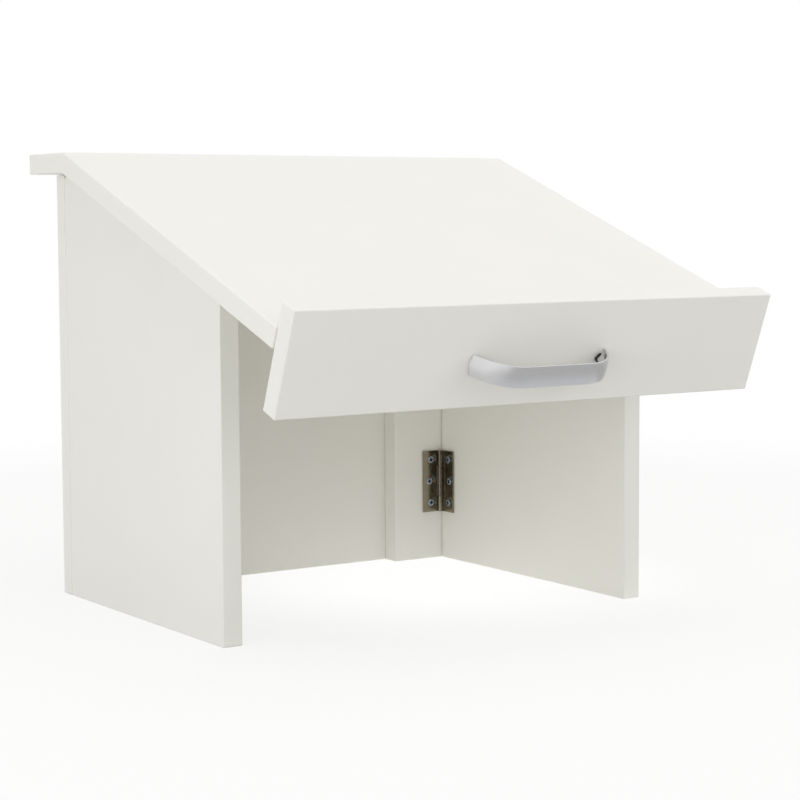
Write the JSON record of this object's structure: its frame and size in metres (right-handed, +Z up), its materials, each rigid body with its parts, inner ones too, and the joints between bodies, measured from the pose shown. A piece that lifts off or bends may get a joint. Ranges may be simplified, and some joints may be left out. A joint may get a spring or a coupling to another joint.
{
  "type": "folding tabletop desk",
  "caption": "Tabletop desk with a sloped white top, front ledge and pull handle; the top lifts off a back panel whose hinged side panels fold in flat.",
  "frame": {"origin": "middle of the back panel's bottom edge, on the surface that the desk stands on", "axes": "+Z up, +X to the user's right, -Y towards the user at the front ledge"},
  "size_m": [0.472, 0.4763, 0.4018],
  "materials": {
    "white_paint": "white satin paint on fibreboard",
    "nickel_steel": "nickel plated steel",
    "zinc_steel": "blue zinc plated steel",
    "satin_aluminium": "satin",
    "beech": "plain beech",
    "black_plastic": "moulded black plastic"
  },
  "bodies": {
    "base": {"back_panel": "white_paint", "hinge_batten": "white_paint", "left_lower_hinge_fixed_leaf": "nickel_steel", "left_upper_hinge_fixed_leaf": "nickel_steel", "right_lower_hinge_fixed_leaf": "nickel_steel", "right_upper_hinge_fixed_leaf": "nickel_steel", "left_lower_hinge_pin": "nickel_steel", "left_upper_hinge_pin": "nickel_steel", "right_lower_hinge_pin": "nickel_steel", "right_upper_hinge_pin": "nickel_steel", "left_lower_hinge_fixed_screw_1": "zinc_steel", "left_lower_hinge_fixed_screw_2": "zinc_steel", "left_lower_hinge_fixed_screw_3": "zinc_steel", "left_upper_hinge_fixed_screw_1": "zinc_steel", "left_upper_hinge_fixed_screw_2": "zinc_steel", "left_upper_hinge_fixed_screw_3": "zinc_steel", "right_lower_hinge_fixed_screw_1": "zinc_steel", "right_lower_hinge_fixed_screw_2": "zinc_steel", "right_lower_hinge_fixed_screw_3": "zinc_steel", "right_upper_hinge_fixed_screw_1": "zinc_steel", "right_upper_hinge_fixed_screw_2": "zinc_steel", "right_upper_hinge_fixed_screw_3": "zinc_steel", "batten_dowel_1": "beech", "batten_dowel_2": "beech", "batten_dowel_3": "beech", "locating_dowel_1": "beech", "locating_dowel_2": "beech"},
    "left_side": {"left_side_panel": "white_paint", "left_lower_hinge_moving_leaf": "nickel_steel", "left_upper_hinge_moving_leaf": "nickel_steel", "left_lower_hinge_moving_screw_1": "zinc_steel", "left_lower_hinge_moving_screw_2": "zinc_steel", "left_lower_hinge_moving_screw_3": "zinc_steel", "left_upper_hinge_moving_screw_1": "zinc_steel", "left_upper_hinge_moving_screw_2": "zinc_steel", "left_upper_hinge_moving_screw_3": "zinc_steel"},
    "right_side": {"right_side_panel": "white_paint", "right_lower_hinge_moving_leaf": "nickel_steel", "right_upper_hinge_moving_leaf": "nickel_steel", "right_lower_hinge_moving_screw_1": "zinc_steel", "right_lower_hinge_moving_screw_2": "zinc_steel", "right_lower_hinge_moving_screw_3": "zinc_steel", "right_upper_hinge_moving_screw_1": "zinc_steel", "right_upper_hinge_moving_screw_2": "zinc_steel", "right_upper_hinge_moving_screw_3": "zinc_steel"},
    "top": {"top_rear_strip": "white_paint", "top_sloped_board": "white_paint", "front_ledge": "white_paint", "pull_handle": "satin_aluminium", "handle_spacer_left": "black_plastic", "handle_spacer_right": "black_plastic", "handle_screw_left": "zinc_steel", "handle_screw_right": "zinc_steel", "mitre_dowel_1": "beech", "mitre_dowel_2": "beech", "mitre_dowel_3": "beech", "ledge_dowel_1": "beech", "ledge_dowel_2": "beech", "ledge_dowel_3": "beech"}
  },
  "joints": [
    {"name": "left_fold", "type": "hinge", "parent": "base", "child": "left_side", "pos_m": [-0.1879, -0.0111, 0.19], "axis": [0, 0, 1], "range_deg": [0, 90]},
    {"name": "right_fold", "type": "hinge", "parent": "base", "child": "right_side", "pos_m": [0.1879, -0.0304, 0.19], "axis": [0, 0, -1], "range_deg": [0, 90]},
    {"name": "top_lift", "type": "slide", "parent": "base", "child": "top", "axis": [0, 0, 1], "range_m": [0, 0.2]}
  ]
}
